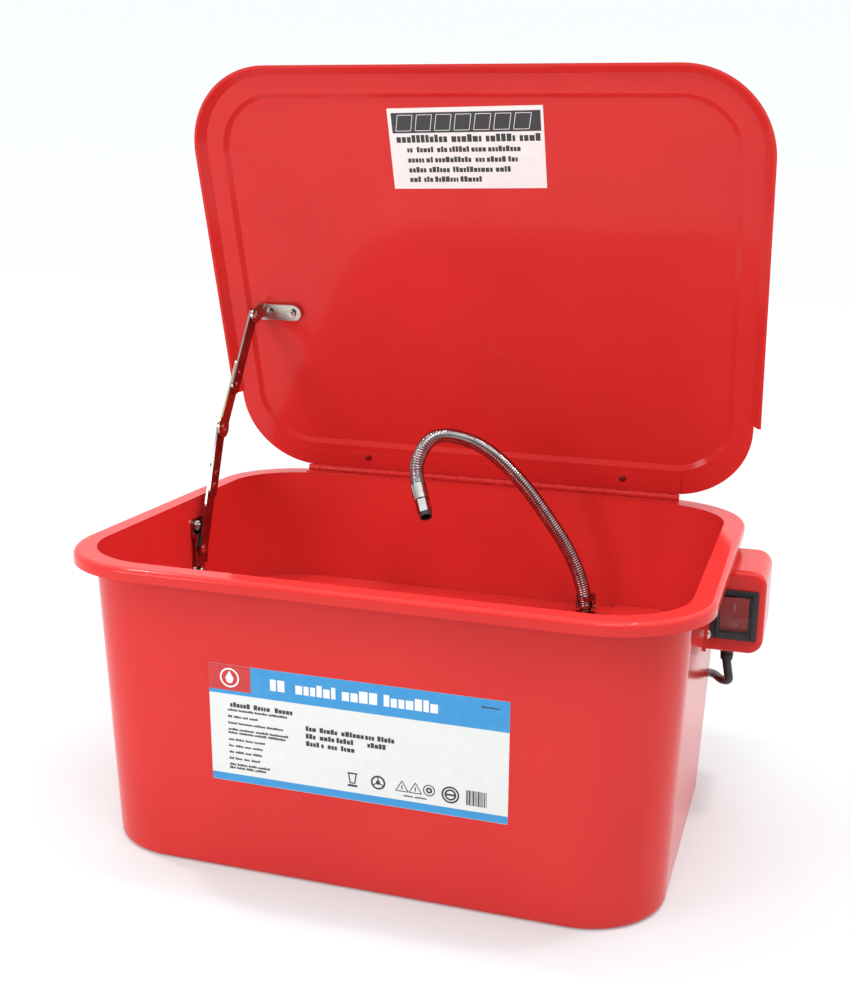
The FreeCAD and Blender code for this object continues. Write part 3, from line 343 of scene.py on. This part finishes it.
def cord_jacket():
    """Flexible black sheath of the leads."""
    material, tree, shader = varied("cord_jacket", dark=(0.010, 0.010, 0.011), light=(0.020, 0.020, 0.021),
                                    rough=(0.32, 0.48), colour_scale=70, rough_scale=500)
    bump(tree, shader, noise(tree, scale=900), distance=mm(0.05), strength=0.3)
    return material


def black_plastic():
    """Moulded plastic with a fine spark-eroded grain."""
    material, tree, shader = varied("black_plastic", dark=(0.012, 0.012, 0.013), light=(0.02, 0.02, 0.022),
                                    rough=(0.30, 0.44), colour_scale=60, rough_scale=800)
    bump(tree, shader, noise(tree, scale=3000, detail=2.0), distance=mm(0.03), strength=0.4)
    return material


def red_rocker():
    """The switch's rocker: deep red moulding with a thin gloss."""
    material, _, shader = varied("red_rocker", dark=(0.27, 0.007, 0.010), light=(0.37, 0.011, 0.014),
                                 rough=(0.14, 0.24), colour_scale=140, rough_scale=900)
    shader.inputs["Specular IOR Level"].default_value = 0.25
    shader.inputs["Coat Weight"].default_value = 0.15
    shader.inputs["Coat Roughness"].default_value = 0.05
    return material


def clear_cover():
    """Soft clear vinyl dust cover."""
    material, _, shader = varied("clear_cover", dark=(0.93, 0.93, 0.93), light=(0.98, 0.98, 0.98),
                                 rough=(0.02, 0.06), colour_scale=80, rough_scale=500)
    shader.inputs["Transmission Weight"].default_value = 1.0
    shader.inputs["IOR"].default_value = 1.22
    return material


def print_stock(name, dark, light):
    """Printed film: one ink or the bare stock, with a little mottling."""
    material, _, shader = varied(name, dark, light, rough=(0.34, 0.46), colour_scale=150, rough_scale=1200)
    shader.inputs["Coat Weight"].default_value = 0.2
    shader.inputs["Coat Roughness"].default_value = 0.2
    return material


def studio_white():
    """Matt white floor that gives off a little light, more of it far from the object."""
    material, tree, shader = varied("studio_white", dark=(0.53, 0.545, 0.55), light=(0.545, 0.56, 0.565),
                                    rough=(0.7, 0.8), colour_scale=3, rough_scale=40)
    shader.inputs["Specular IOR Level"].default_value = 0.1
    shader.inputs["Emission Color"].default_value = (1.0, 1.0, 1.0, 1.0)
    place = node(tree, "ShaderNodeTexCoord")
    away = node(tree, "ShaderNodeVectorMath", operation="LENGTH")
    tree.links.new(place.outputs["Object"], away.inputs[0])
    glow = remap(tree, away.outputs["Value"], FLOOR_LIGHT_NEAR, FLOOR_LIGHT_FAR, FLOOR_NEAR, FLOOR_FAR)
    tree.links.new(glow, shader.inputs["Emission Strength"])
    return material


# ---------------------------------------------------------------- mesh and curve helpers

def mesh_object(name, vertices, faces, material, smooth=True):
    """A linked mesh object with one material."""
    mesh = bpy.data.meshes.new(name)
    mesh.from_pydata([tuple(v) for v in vertices], [], faces)
    mesh.update()
    for polygon in mesh.polygons:
        polygon.use_smooth = smooth
    made = bpy.data.objects.new(name, mesh)
    made.data.materials.append(material)
    bpy.context.scene.collection.objects.link(made)
    return made


def nurbs(name, points, radius, material=None):
    """A smooth curve whose control points are these, round in section."""
    curve = bpy.data.curves.new(name, "CURVE")
    curve.dimensions = "3D"
    curve.resolution_u = CURVE_STEPS
    spline = curve.splines.new("NURBS")
    spline.points.add(len(points) - 1)
    for point, place in zip(spline.points, points):
        point.co = (*place, 1.0)
    spline.order_u = 3
    spline.use_endpoint_u = True
    curve.bevel_depth = radius
    curve.bevel_resolution = SECTION_STEPS
    curve.use_fill_caps = True
    made = bpy.data.objects.new(name, curve)
    if material:
        curve.materials.append(material)
    bpy.context.scene.collection.objects.link(made)
    return made


def spline_line(points):
    """The points of the smooth curve that has these control points."""
    guide = nurbs("guide", points, 0.0)
    guide.data.resolution_u = GUIDE_STEPS
    graph = bpy.context.evaluated_depsgraph_get()
    mesh = bpy.data.meshes.new_from_object(guide.evaluated_get(graph))
    line = [v.co.copy() for v in mesh.vertices]
    bpy.data.objects.remove(guide)
    bpy.data.meshes.remove(mesh)
    return line


def stations(line, step):
    """Points and directions at an even spacing along a line."""
    places = [line[0].copy()]
    travelled, wanted = 0.0, step
    for a, b in zip(line, line[1:]):
        length = (b - a).length
        while length > 0 and travelled + length >= wanted:
            places.append(a.lerp(b, (wanted - travelled) / length))
            wanted += step
        travelled += length
    ways = []
    for index in range(len(places)):
        before = places[max(index - 1, 0)]
        after = places[min(index + 1, len(places) - 1)]
        ways.append((after - before).normalized())
    return places, ways


def dress(name, material):
    """Gives a CAD node its material."""
    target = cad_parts[name]
    target.data.materials.clear()
    target.data.materials.append(material)


# ---------------------------------------------------------------- cords

def coil_points():
    """Control points of the wound-up part. Each turn is a little out of round and eases into the next."""
    points = []
    turns = len(COIL_TURNS)
    for turn in range(turns):
        radius, height = COIL_TURNS[turn]
        next_radius, next_height = COIL_TURNS[min(turn + 1, turns - 1)]
        for step in range(POINTS_PER_TURN):
            share = step / POINTS_PER_TURN
            ease = max(0.0, (share - COIL_CLIMB_START) / (1.0 - COIL_CLIMB_START))
            ease = ease * ease * (3 - 2 * ease)
            wobble = COIL_WOBBLE * math.sin(WOBBLE_SHIFT * turn + WOBBLES_PER_TURN * math.tau * share)
            r = radius + (next_radius - radius) * ease + wobble
            z = height + (next_height - height) * ease
            angle = -0.5 * math.pi - math.tau * share
            points.append((COIL_CENTRE[0] + r * math.cos(angle), COIL_CENTRE[1] + r * math.sin(angle), z))
    return points


def make_mains_lead(jacket):
    """The mains lead, down behind the tank, round the coil and out to the plug."""
    route = CORD_ROUTE + tuple(coil_points()) + (COIL_WAY_OUT,) + TAIL_ROUTE
    lead = nurbs("mains_lead", [mm(*p) for p in route], mm(CORD_D / 2), jacket)
    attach(lead, "tank")
    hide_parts("mains_cord", "cord_coil", "cord_tail")


def make_pump_lead(jacket):
    """The pump's lead, from the pump into the switch box."""
    lead = nurbs("pump_lead", [mm(*p) for p in PUMP_LEAD_ROUTE], mm(PUMP_LEAD_D / 2), jacket)
    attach(lead, "tank")
    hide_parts("pump_cable")


# ---------------------------------------------------------------- spout

def spout_route():
    """The spout's route points in the frame, in metres."""
    heading = math.radians(SPOUT_HEADING)
    route = []
    for out, front, z in SPOUT_ROUTE:
        x = SPOUT_BASE[0] + out * math.cos(heading) - front * math.sin(heading)
        y = SPOUT_BASE[1] + out * math.sin(heading) + front * math.cos(heading)
        route.append(mm(x, y, z))
    return route


def make_spout_hose(material):
    """Wound metal hose: one strip spiralling round, each turn lapped over the last."""
    heading = math.radians(SPOUT_HEADING)
    places, ways = stations(spline_line(spout_route()), mm(HOSE_PITCH / RINGS_PER_TURN))
    front_way = Vector((-math.sin(heading), math.cos(heading), 0.0))
    vertices, faces = [], []
    for index, (place, way) in enumerate(zip(places, ways)):
        other = way.cross(front_way).normalized()
        side = other.cross(way)
        for step in range(HOSE_SIDES):
            turn = step / HOSE_SIDES
            phase = (index / RINGS_PER_TURN - turn) % 1.0
            lap = math.sin(math.pi * phase) ** HOSE_LAP_SHARPNESS
            r = mm(SPOUT_D / 2 - HOSE_GROOVE + HOSE_GROOVE * lap)
            angle = math.tau * turn
            vertices.append(place + side * (r * math.cos(angle)) + other * (r * math.sin(angle)))
    for ring in range(len(places) - 1):
        for step in range(HOSE_SIDES):
            a, b = ring * HOSE_SIDES + step, ring * HOSE_SIDES + (step + 1) % HOSE_SIDES
            faces.append((a, b, b + HOSE_SIDES, a + HOSE_SIDES))
    hose = mesh_object("spout_skin", vertices, faces, material)
    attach(hose, "spout")
    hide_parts("spout_hose")


# ---------------------------------------------------------------- printed labels

def box_shape(u0, v0, u1, v1):
    """A rectangle."""
    return [(u0, v0), (u1, v0), (u1, v1), (u0, v1)]


def ring_shapes(u, v, outer, inner):
    """A ring as a row of four-sided pieces."""
    shapes = []
    for index in range(RING_SIDES):
        a = math.tau * index / RING_SIDES
        b = math.tau * (index + 1) / RING_SIDES
        corners = ((outer, a), (outer, b), (inner, b), (inner, a))
        shapes.append([(u + r * math.cos(t), v + r * math.sin(t)) for r, t in corners])
    return shapes


def line_shape(u0, v0, u1, v1, width):
    """A straight stroke."""
    long = math.hypot(u1 - u0, v1 - v0)
    du, dv = -(v1 - v0) / long * width / 2, (u1 - u0) / long * width / 2
    return [(u0 + du, v0 + dv), (u1 + du, v1 + dv), (u1 - du, v1 - dv), (u0 - du, v0 - dv)]


def outline_shapes(corners, width):
    """Strokes round a closed outline."""
    following = corners[1:] + corners[:1]
    return [line_shape(*a, *b, width) for a, b in zip(corners, following)]


def words(chance, u, v, height, lengths, gap):
    """A line of print without letters: each word is a row of plain blocks of two heights."""
    shapes = []
    for length in lengths:
        end = u + length
        while u < end - LAST_BLOCK * height:
            wide = min(height * chance.uniform(BLOCK_NARROW, BLOCK_WIDE), end - u)
            top = v if chance.random() < TALL_BLOCKS else v + LOW_BLOCK_DROP * height
            shapes.append(box_shape(u, top, u + wide, v + height))
            u += wide + BLOCK_GAP * height
        u = end + gap * height
    return shapes


def make_print(name, place, layers, body):
    """Thin printed shapes laid on a surface. Each layer is (ink, lift in mm, shapes)."""
    vertices, faces, inks = [], [], []
    for index, (_, lift, shapes) in enumerate(layers):
        for shape in shapes:
            faces.append(tuple(range(len(vertices), len(vertices) + len(shape))))
            vertices.extend(place(u, v, lift) for u, v in shape)
            inks.append(index)
    made = mesh_object(name, vertices, faces, layers[0][0], smooth=False)
    for ink, _, _ in layers[1:]:
        made.data.materials.append(ink)
    for polygon, index in zip(made.data.polygons, inks):
        polygon.material_index = index
    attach(made, body)


def front_place(u, v, lift):
    """A point on the front label: u from its left edge, v down from its top edge, in mm."""
    low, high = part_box("front_label")
    slope = math.atan(FRONT_LEAN)
    z = high.z / MM - v * math.cos(slope)
    out = LABEL_THICK + lift
    y = FRONT_FOOT - FRONT_LEAN * z - out / math.cos(slope)
    return mm(low.x / MM + u, y, z)


def lid_place(u, v, lift):
    """A point on the lid's label: u from its left edge, v down from its top edge, in mm."""
    wide, tall = LID_LABEL_SIZE
    turn = math.radians(LID_LABEL_TURN)
    du, dv = u - wide / 2, v - tall / 2
    x = LID_LABEL_MIDDLE[0] + du * math.cos(turn) - dv * math.sin(turn)
    out = LID_LABEL_MIDDLE[1] - du * math.sin(turn) - dv * math.cos(turn)
    return on_lid(x, out, LID_POCKET - LABEL_THICK - lift)


def on_lid(x, out, rise):
    """A point of the open lid: out from the hinge, and rise above it as if the lid were shut."""
    turn = math.radians(-LID_OPEN)
    y = -out * math.cos(turn) - rise * math.sin(turn)
    z = -out * math.sin(turn) + rise * math.cos(turn)
    return mm(x, HINGE_Y + y, HINGE_Z + z)


def make_front_print(black, blue, white, red):
    """Front plate: blue bands, a red badge, a title bar, lines of print and plain pictograms."""
    chance = random.Random(FRONT_SEED)
    bands = [box_shape(0, 0, PLATE_WIDE, HEAD_BAND_END),
             box_shape(0, FOOT_BAND_START, PLATE_WIDE, PLATE_TALL)]
    badge = [box_shape(0, 0, BADGE_WIDE, BADGE_TALL)]
    title = words(chance, *PLATE_TITLE)
    title += ring_shapes(*DROP_MIDDLE, *DROP_RING)
    title.append([(DROP_MIDDLE[0] + u, DROP_MIDDLE[1] + v) for u, v in DROP_OUTLINE])
    text = words(chance, *PLATE_HEADING)
    for v, length in SMALL_ROWS:
        lengths = [length * share for share in SMALL_WORDS]
        text += words(chance, SMALL_LEFT, v, SMALL_HEIGHT, lengths, SMALL_GAP)
    for v, names, right, values in TABLE_ROWS:
        text += words(chance, TABLE_LEFT, v, TABLE_HEIGHT, names, TABLE_GAP)
        text += words(chance, right, v, TABLE_HEIGHT, values, TABLE_GAP)
    text += words(chance, *PLATE_CORNER_PRINT)
    text += pictograms()
    layers = [(blue, FIRST_INK, bands), (red, SECOND_INK, badge), (white, LAST_INK, title),
              (black, TEXT_INK, text)]
    make_print("front_label_print", front_place, layers, "tank")


def bottle(u, v):
    """Lid, foot, two leaning sides and a thick bottom."""
    shapes = [box_shape(u - 3.5, v - 4.5, u + 3.5, v - 3.4), box_shape(u - 3.5, v + 4.4, u + 3.5, v + 6.0)]
    for side in (-1, 1):
        shapes.append(line_shape(u + side * 2.7, v - 3.4, u + side * 1.6, v + 3.6, BOTTLE_STROKE))
    return shapes + [box_shape(u - 2.0, v + 2.8, u + 2.0, v + 3.6)]


def hand_wheel(u, v):
    """Rim, hub and spokes."""
    shapes = ring_shapes(u, v, *WHEEL_RIM) + ring_shapes(u, v, *WHEEL_HUB)
    for index in range(WHEEL_SPOKES):
        a = math.tau * (index / WHEEL_SPOKES + WHEEL_TURN)
        ends = [(u + r * math.cos(a), v + r * math.sin(a)) for r in WHEEL_SPOKE]
        shapes.append(line_shape(*ends[0], *ends[1], SPOKE_STROKE))
    return shapes


def triangle(u, v):
    """An outlined triangle with a bar in it."""
    corners = ((u - 4.4, v + 3.6), (u + 4.4, v + 3.6), (u, v - 4.0))
    return outline_shapes(corners, TRIANGLE_STROKE) + [box_shape(u - 0.4, v - 0.8, u + 0.4, v + 2.2)]


def bars(v):
    """A row of bars of uneven widths that stands for no number."""
    chance = random.Random(BARS_SEED)
    shapes = []
    u = BARS_START
    while u < BARS_END:
        wide = chance.choice(BAR_WIDTHS)
        shapes.append(box_shape(u, v - BARS_RISE, u + wide, v + BARS_DROP))
        u += wide + chance.choice(BAR_GAPS)
    return shapes


def pictograms():
    """A row of plain signs: bottle, hand wheel, two triangles, two pairs of rings and a bar pattern."""
    v = SIGNS_LEVEL
    shapes = bottle(BOTTLE_AT, v) + hand_wheel(WHEEL_AT, v)
    for u in TRIANGLES_AT:
        shapes += triangle(u, v)
    for outer, inner in SMALL_RINGS:
        shapes += ring_shapes(SMALL_RINGS_AT, v, outer, inner)
    u, middle = LARGE_RINGS_AT, v + LARGE_RINGS_DROP
    for outer, inner in LARGE_RINGS:
        shapes += ring_shapes(u, middle, outer, inner)
    across, down = LARGE_RINGS_BAR
    shapes.append(box_shape(u - across, middle - down, u + across, middle + down))
    return shapes + bars(v) + words(random.Random(SIGNS_SEED), *SIGNS_PRINT)


def make_lid_print(black, white):
    """Lid plate: a black band with outlined blocks, one bold line and four plain lines."""
    chance = random.Random(LID_SEED)
    wide = LID_LABEL_SIZE[0]
    band = [box_shape(LID_BAND_LEFT, LID_BAND_TOP, wide - LID_BAND_RIGHT, LID_BAND_FOOT)]
    outlines = []
    step = (wide - LID_BLOCKS_MARGIN) / LID_BLOCKS
    for index in range(LID_BLOCKS):
        left = LID_BLOCK_LEFT + index * step
        right = left + step - LID_BLOCK_GAP
        corners = ((left + LID_BLOCK_LEAN, LID_BLOCK_TOP), (right + LID_BLOCK_LEAN, LID_BLOCK_TOP),
                   (right, LID_BLOCK_FOOT), (left, LID_BLOCK_FOOT))
        outlines += outline_shapes(corners, LID_BLOCK_STROKE)
    text = words(chance, *LID_BOLD_LINE)
    for v, lengths in LID_LINES:
        text += words(chance, LID_LINE_LEFT, v, LID_LINE_HEIGHT, lengths, LID_LINE_GAP)
    layers = [(black, FIRST_INK, band + text), (white, TEXT_INK, outlines)]
    make_print("lid_label_print", lid_place, layers, "lid")


def make_rocker_marks(ink):
    """On and off marks, a bar and a ring, on the two slopes of the rocker."""
    low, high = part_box("switch_rocker")
    middle = (low.x + high.x) / 2 / MM
    top, foot = high.z / MM, low.z / MM
    ridge = top - RIDGE_DROP
    front = low.y / MM

    def place(u, v, lift):
        """u across from the middle, v down from the rocker's top."""
        z = top - v
        if z > ridge:
            y = front + ROCKER_TOP_LEAN * (z - ridge) / (top - ridge)
        else:
            y = front + ROCKER_FOOT_LEAN * (ridge - z) / (ridge - foot)
        return mm(middle + u, y - lift, z)

    marks = [box_shape(*ROCKER_BAR)] + ring_shapes(*ROCKER_RING)
    make_print("rocker_marks", place, [(ink, SECOND_INK, marks)], "rocker")


# ---------------------------------------------------------------- studio

def make_studio(white):
    """Pale floor that runs out level past the view."""
    half = FLOOR_HALF
    corners = [(-half, -half, 0), (half, -half, 0), (half, half, 0), (-half, half, 0)]
    floor = mesh_object("studio_floor", corners, [(0, 1, 2, 3)], white, smooth=False)


def make_world():
    """Soft white surroundings. They light the model brightly from overhead and behind and dimly from the
    front, and the camera sees them evenly white."""
    world = bpy.data.worlds.new("studio")
    bpy.context.scene.world = world
    world.use_nodes = True
    tree = world.node_tree
    background = tree.nodes["Background"]
    place = node(tree, "ShaderNodeTexCoord")
    split = node(tree, "ShaderNodeSeparateXYZ")
    tree.links.new(place.outputs["Generated"], split.inputs["Vector"])
    above_horizon = remap(tree, split.outputs["Z"], 0.0, 1.0, *HORIZON_BLEND)
    tree.links.new(mix_colour(tree, above_horizon, HORIZON_WHITE, UPPER_WHITE), background.inputs["Color"])
    level = remap(tree, split.outputs["Y"], FRONT_LEVEL, BACK_LEVEL, *FRONT_TO_BACK)
    overhead = remap(tree, split.outputs["Z"], 0.0, 1.0, *SIDE_TO_OVERHEAD)
    level = mix_value(tree, overhead, level, OVERHEAD_LEVEL)
    rays = node(tree, "ShaderNodeLightPath")
    level = mix_value(tree, rays.outputs["Is Camera Ray"], level, SEEN_LEVEL)
    tree.links.new(level, background.inputs["Strength"])


def add_light(name, place, target, side, power):
    """A square white area lamp."""
    lamp = bpy.data.lights.new(name, "AREA")
    lamp.shape = "SQUARE"
    lamp.size = side
    lamp.energy = power
    made = bpy.data.objects.new(name, lamp)
    made.location = place
    made.rotation_euler = (Vector(target) - Vector(place)).to_track_quat("-Z", "Y").to_euler()
    bpy.context.scene.collection.objects.link(made)


def place_camera():
    """The scene's camera: turned, tilted and rolled about the target, at its distance from it."""
    turn, tilt, roll = (math.radians(a) for a in (CAMERA_TURN, CAMERA_TILT, CAMERA_ROLL))
    forward = Vector((-math.sin(turn) * math.cos(tilt), math.cos(turn) * math.cos(tilt), -math.sin(tilt)))
    right = Vector((math.cos(turn), math.sin(turn), 0.0))
    up = right.cross(forward)
    right_rolled = right * math.cos(roll) + up * math.sin(roll)
    up_rolled = up * math.cos(roll) - right * math.sin(roll)
    camera = bpy.data.cameras.new("camera")
    camera.lens = CAMERA_LENS
    camera.clip_start, camera.clip_end = NEAREST_SEEN, FURTHEST_SEEN
    made = bpy.data.objects.new("camera", camera)
    rotation = Matrix((right_rolled, up_rolled, -forward)).transposed().to_4x4()
    made.matrix_world = Matrix.Translation(mm(*CAMERA_TARGET) - forward * mm(CAMERA_DISTANCE)) @ rotation
    bpy.context.scene.collection.objects.link(made)
    bpy.context.scene.camera = made


# ---------------------------------------------------------------- scene

bpy.context.scene.view_settings.view_transform = "Standard"
place_camera()

NODES_BY_FINISH = {
    red_enamel: ("tank_shell", "shelf", "shelf_brackets", "pump_cover", "lid_panel", "hinge_rim_leaf",
                 "hinge_lid_leaf", "switch_box"),
    zinc: ("hinge_pin", "lid_bracket", "lid_bracket_screws", "stay_upper_rivets", "stay_lower_rivets",
           "wall_bracket_bolts", "box_screws"),
    # straps, wall bracket, spout yoke and swivel get the zinc with painted shade
    shade_painted_zinc: ("stay_upper_strip", "stay_lower_strip", "stay_foot_strip", "wall_bracket", "spout_yoke",
                 "spout_swivel"),
    # hinge screws get the red with painted shade
    painted_shade_screw_red: ("hinge_screws",),
    fusible_metal: ("stay_fusible_strip",),
    chrome: ("nozzle_collar",),
    brass: ("riser_pipe", "switch_terminals", "plug_pins"),
    black_rubber: ("cable_gland", "strain_relief", "nozzle_tip"),
    black_plastic: ("pump_strainer", "pump_housing", "pump_impeller", "switch_housing", "plug_body"),
    red_rocker: ("switch_rocker",),
    clear_cover: ("switch_shield",),
}
for make, names in NODES_BY_FINISH.items():
    finish = make()
    for name in names:
        dress(name, finish)
dress("front_label", print_stock("grey_stock", (0.78, 0.79, 0.76), (0.81, 0.82, 0.79)))
dress("lid_label", print_stock("white_stock", (0.88, 0.875, 0.85), (0.92, 0.915, 0.89)))
black_ink = print_stock("black_ink", (0.020, 0.020, 0.022), (0.032, 0.032, 0.034))
blue_ink = print_stock("blue_ink", (0.020, 0.28, 0.62), (0.030, 0.31, 0.66))
white_ink = print_stock("white_ink", (0.86, 0.87, 0.87), (0.90, 0.91, 0.91))
red_ink = print_stock("red_ink", (0.55, 0.020, 0.018), (0.62, 0.026, 0.022))
faint_ink = print_stock("faint_ink", (0.36, 0.15, 0.15), (0.44, 0.19, 0.19))
make_front_print(black_ink, blue_ink, white_ink, red_ink)
make_lid_print(black_ink, white_ink)
make_rocker_marks(faint_ink)

jacket = cord_jacket()
make_mains_lead(jacket)
make_pump_lead(jacket)
make_spout_hose(wound_steel())
make_studio(studio_white())
make_world()
for name, (place, target, side, power) in LAMPS.items():
    add_light(name, place, target, side, power)
